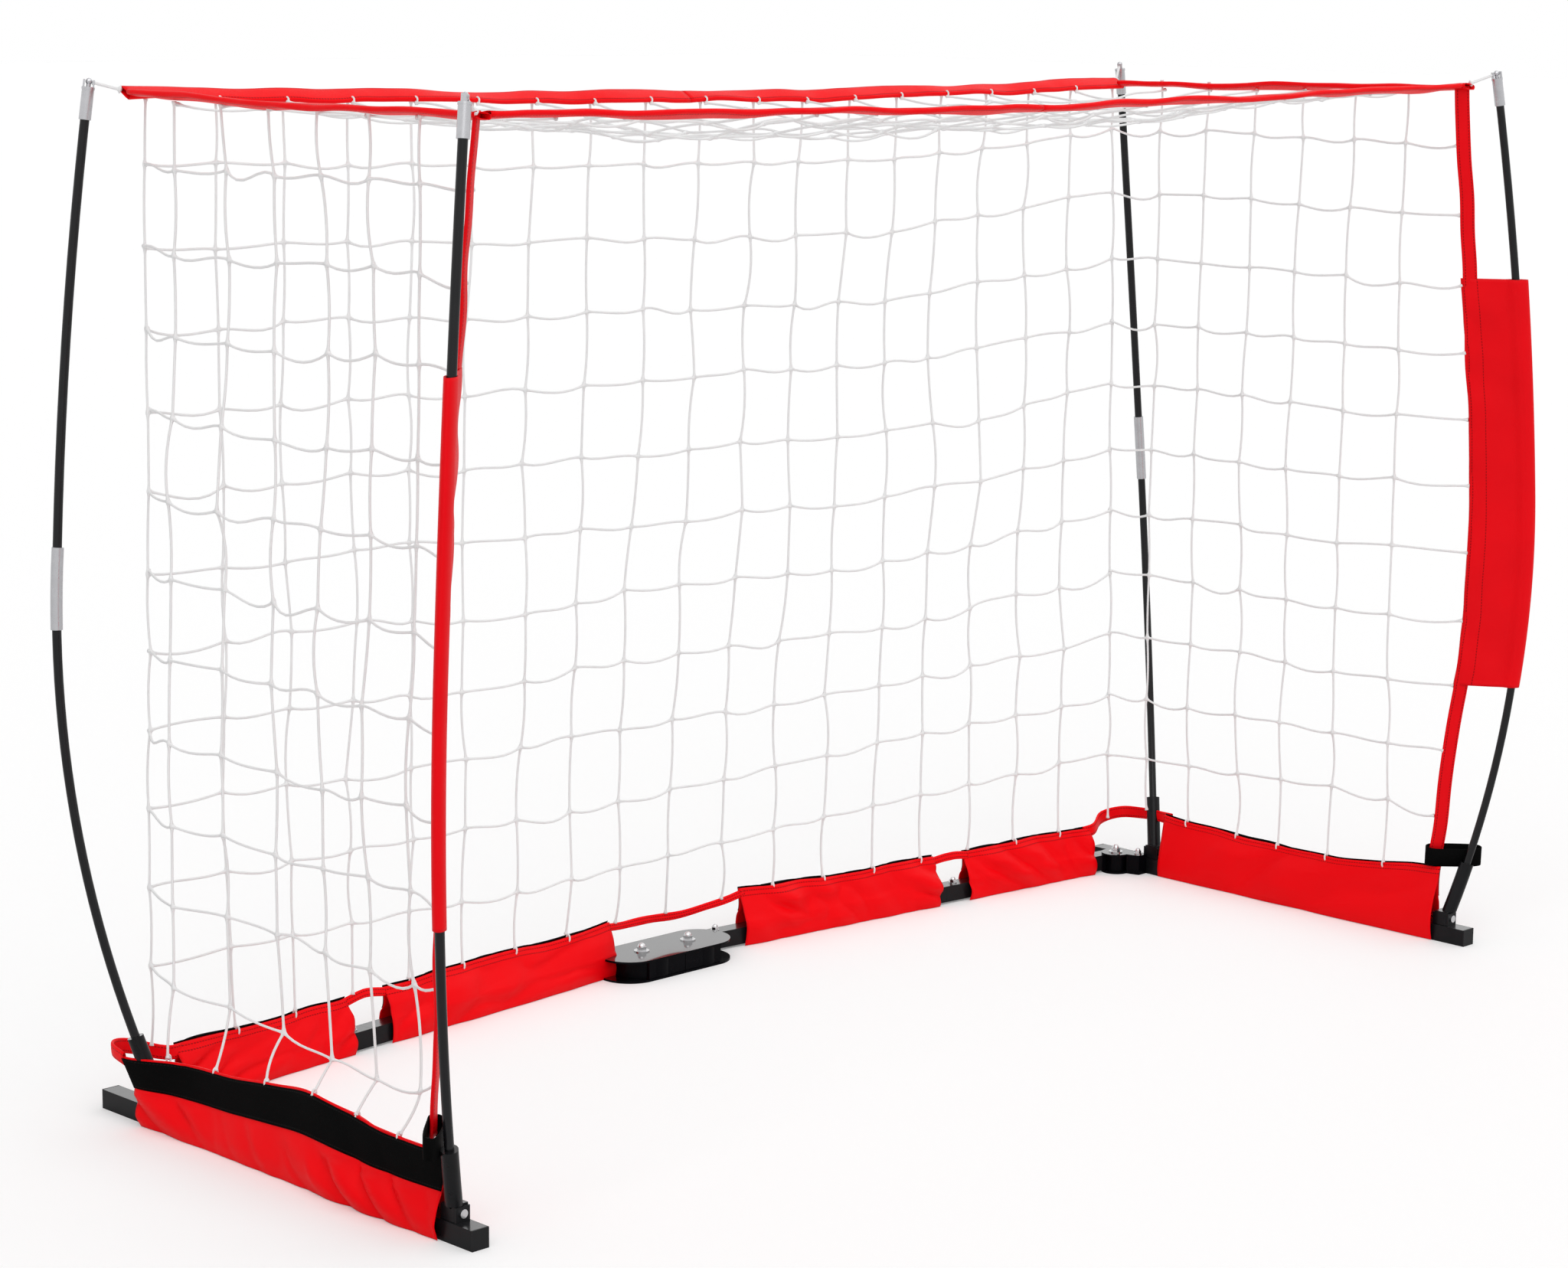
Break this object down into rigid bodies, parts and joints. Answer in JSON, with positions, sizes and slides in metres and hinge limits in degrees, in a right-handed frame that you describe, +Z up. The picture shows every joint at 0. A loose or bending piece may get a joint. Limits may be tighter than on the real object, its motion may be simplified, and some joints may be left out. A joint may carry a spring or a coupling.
{
  "type": "folding football goal",
  "caption": "Free-standing folding football goal: black hinged base, bent poles, white net, red fabric edges.",
  "frame": {"origin": "on the floor, under the middle of the goal's overall width and depth", "axes": "+X along the crossbar side, the goal mouth faces -Y, +Z up"},
  "size_m": [2.0154, 0.7747, 1.2466],
  "materials": {
    "frame_black": "gloss",
    "hinge_black": "gloss",
    "plug_black": "satin",
    "bolt_steel": "bright",
    "pole_black": "gloss",
    "ferrule_steel": "bright",
    "net_cord": "matt",
    "red_fabric": "satin",
    "strap_black": "matt"
  },
  "bodies": {
    "hinge": {"hinge_plate_top": "hinge_black", "hinge_plate_bottom": "hinge_black", "hinge_pivots": "bolt_steel", "hem_link": "red_fabric"},
    "rear_left": {"centre_knuckle_left": "hinge_black", "rear_tube_inner_left": "frame_black", "rear_tube_outer_left": "frame_black", "rear_bolts_left": "bolt_steel", "corner_knuckle_left": "hinge_black", "rear_skirt_left": "red_fabric", "back_net_left": "net_cord", "rear_band_left": "red_fabric"},
    "side_left": {"side_tube_left": "frame_black", "end_plugs_left": "plug_black", "corner_bracket_left": "hinge_black", "corner_pivot_left": "bolt_steel", "side_bolts_left": "bolt_steel", "receivers_left": "frame_black", "front_pole_lower_left": "pole_black", "front_pole_upper_left": "pole_black", "rear_pole_lower_left": "pole_black", "rear_pole_upper_left": "pole_black", "ferrules_left": "ferrule_steel", "tip_caps_left": "ferrule_steel", "tie_cords_left": "net_cord", "side_skirt_left": "red_fabric", "side_net_left": "net_cord", "side_band_left": "red_fabric", "front_post_left": "red_fabric", "strap_left": "strap_black", "roof_net_left": "net_cord", "front_band_left": "red_fabric"},
    "rear_right": {"centre_knuckle_right": "hinge_black", "rear_tube_inner_right": "frame_black", "rear_tube_outer_right": "frame_black", "rear_bolts_right": "bolt_steel", "corner_knuckle_right": "hinge_black", "rear_skirt_right": "red_fabric", "back_net_right": "net_cord", "rear_band_right": "red_fabric"},
    "side_right": {"side_tube_right": "frame_black", "end_plugs_right": "plug_black", "corner_bracket_right": "hinge_black", "corner_pivot_right": "bolt_steel", "side_bolts_right": "bolt_steel", "receivers_right": "frame_black", "front_pole_lower_right": "pole_black", "front_pole_upper_right": "pole_black", "rear_pole_lower_right": "pole_black", "rear_pole_upper_right": "pole_black", "ferrules_right": "ferrule_steel", "tip_caps_right": "ferrule_steel", "tie_cords_right": "net_cord", "side_skirt_right": "red_fabric", "side_net_right": "net_cord", "side_band_right": "red_fabric", "front_post_right": "red_fabric", "strap_right": "strap_black", "roof_net_right": "net_cord", "front_band_right": "red_fabric"}
  },
  "joints": [
    {"name": "rear_left_fold", "type": "hinge", "parent": "hinge", "child": "rear_left", "pos_m": [-0.044, 0.34337, 0.0153], "axis": [0, 0, -1], "range_deg": [0, 95], "deforming": ["back_net_left", "rear_band_left", "hem_link"]},
    {"name": "rear_right_fold", "type": "hinge", "parent": "hinge", "child": "rear_right", "pos_m": [0.044, 0.34337, 0.0153], "axis": [0, 0, 1], "range_deg": [0, 95], "deforming": ["back_net_right", "rear_band_right"]},
    {"name": "side_left_fold", "type": "hinge", "parent": "rear_left", "child": "side_left", "pos_m": [-0.892, 0.27326, 0.0153], "axis": [0, 0, 1], "range_deg": [0, 95], "deforming": ["roof_net_left", "front_band_left"]},
    {"name": "side_right_fold", "type": "hinge", "parent": "rear_right", "child": "side_right", "pos_m": [0.892, 0.27326, 0.0153], "axis": [0, 0, -1], "range_deg": [0, 95], "deforming": ["roof_net_right", "front_band_right"]}
  ],
  "couplings": [
    {"joint": "rear_right_fold", "follows": "rear_left_fold", "ratio": 1},
    {"joint": "side_left_fold", "follows": "rear_left_fold", "ratio": 1},
    {"joint": "side_right_fold", "follows": "rear_left_fold", "ratio": 1}
  ]
}
